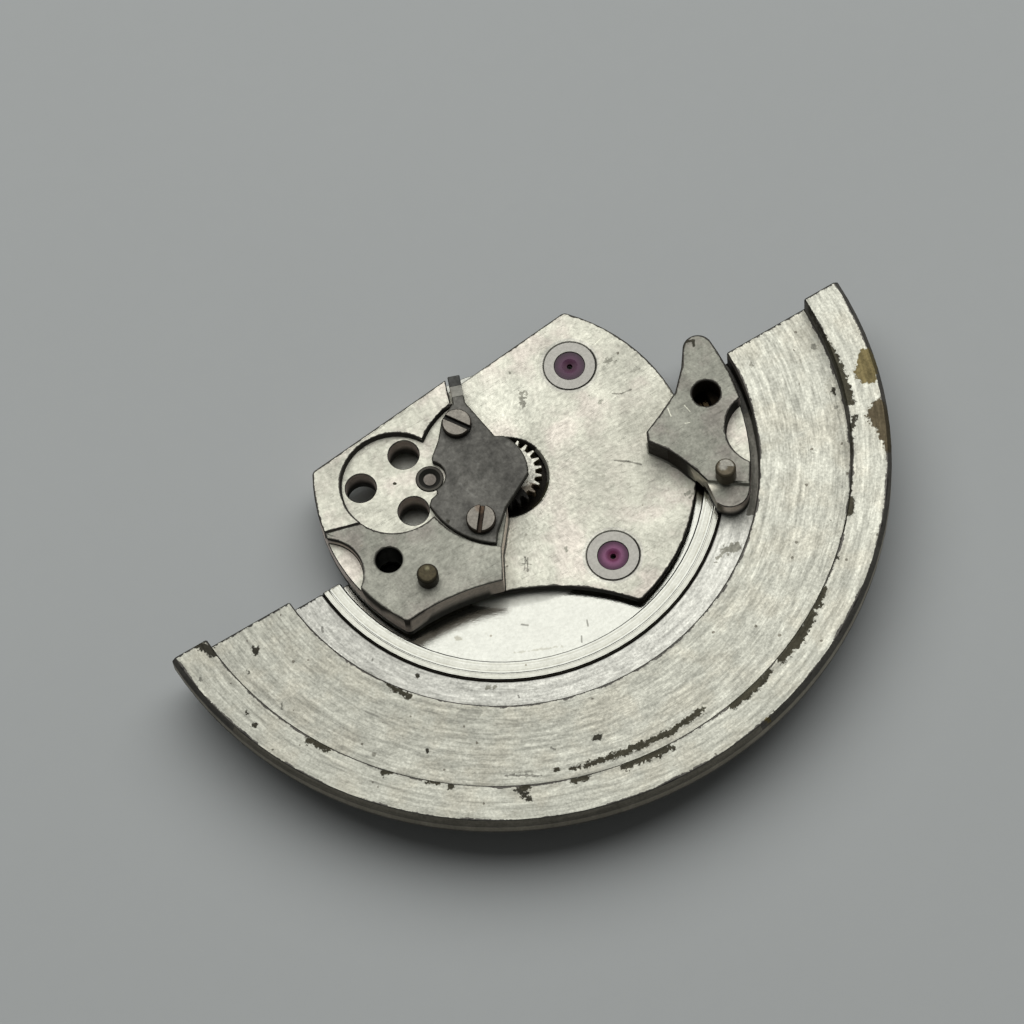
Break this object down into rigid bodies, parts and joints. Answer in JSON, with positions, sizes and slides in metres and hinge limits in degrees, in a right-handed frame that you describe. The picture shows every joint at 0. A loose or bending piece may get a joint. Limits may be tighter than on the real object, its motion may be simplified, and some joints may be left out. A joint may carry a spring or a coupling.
{
  "type": "automatic watch rotor",
  "caption": "Half-disc winding weight on a thin web, turning on an axle under a milled bridge with jewel bearings, locating pins and a screwed retaining plate.",
  "frame": {"origin": "on the rotor's axis, at the outer face that the rotor lies on", "axes": "+Z along the rotor's axis towards the movement, +X along the chord that ends the weight, -Y towards the weight"},
  "size_m": [0.026, 0.0172, 0.0026],
  "materials": {
    "weight_nickel": "nickel plated heavy brass, finely turned, worn at the edges",
    "plate_nickel": "nickel plated brass, matt grained",
    "bright_steel": "polished steel",
    "dark_steel": "dark satin steel",
    "screw_steel": "polished steel, lightly worn",
    "setting_metal": "plated brass, satin",
    "pin_brass": "aged brass",
    "bush_bronze": "bronze",
    "ruby": "polished synthetic ruby"
  },
  "bodies": {
    "bridge": {"bridge_plate": "plate_nickel", "axle_bush": "bush_bronze", "retaining_plate": "dark_steel", "retaining_screws": "screw_steel", "upper_jewel_setting": "setting_metal", "upper_jewel": "ruby", "lower_jewel_setting": "setting_metal", "lower_jewel": "ruby", "left_locating_pin": "pin_brass", "right_locating_pin": "bright_steel", "stud_collar": "dark_steel", "stud_pin": "screw_steel"},
    "rotor": {"rotor_weight": "weight_nickel", "rotor_web": "plate_nickel", "rotor_hub": "plate_nickel", "rotor_gear": "bright_steel", "rotor_axle": "bright_steel", "thrust_washer": "bright_steel", "axle_clip": "bright_steel"}
  },
  "joints": [
    {"name": "rotor_spin", "type": "hinge", "parent": "bridge", "child": "rotor", "pos_m": [0, 0, 0], "axis": [0, 0, 1], "continuous": true}
  ]
}
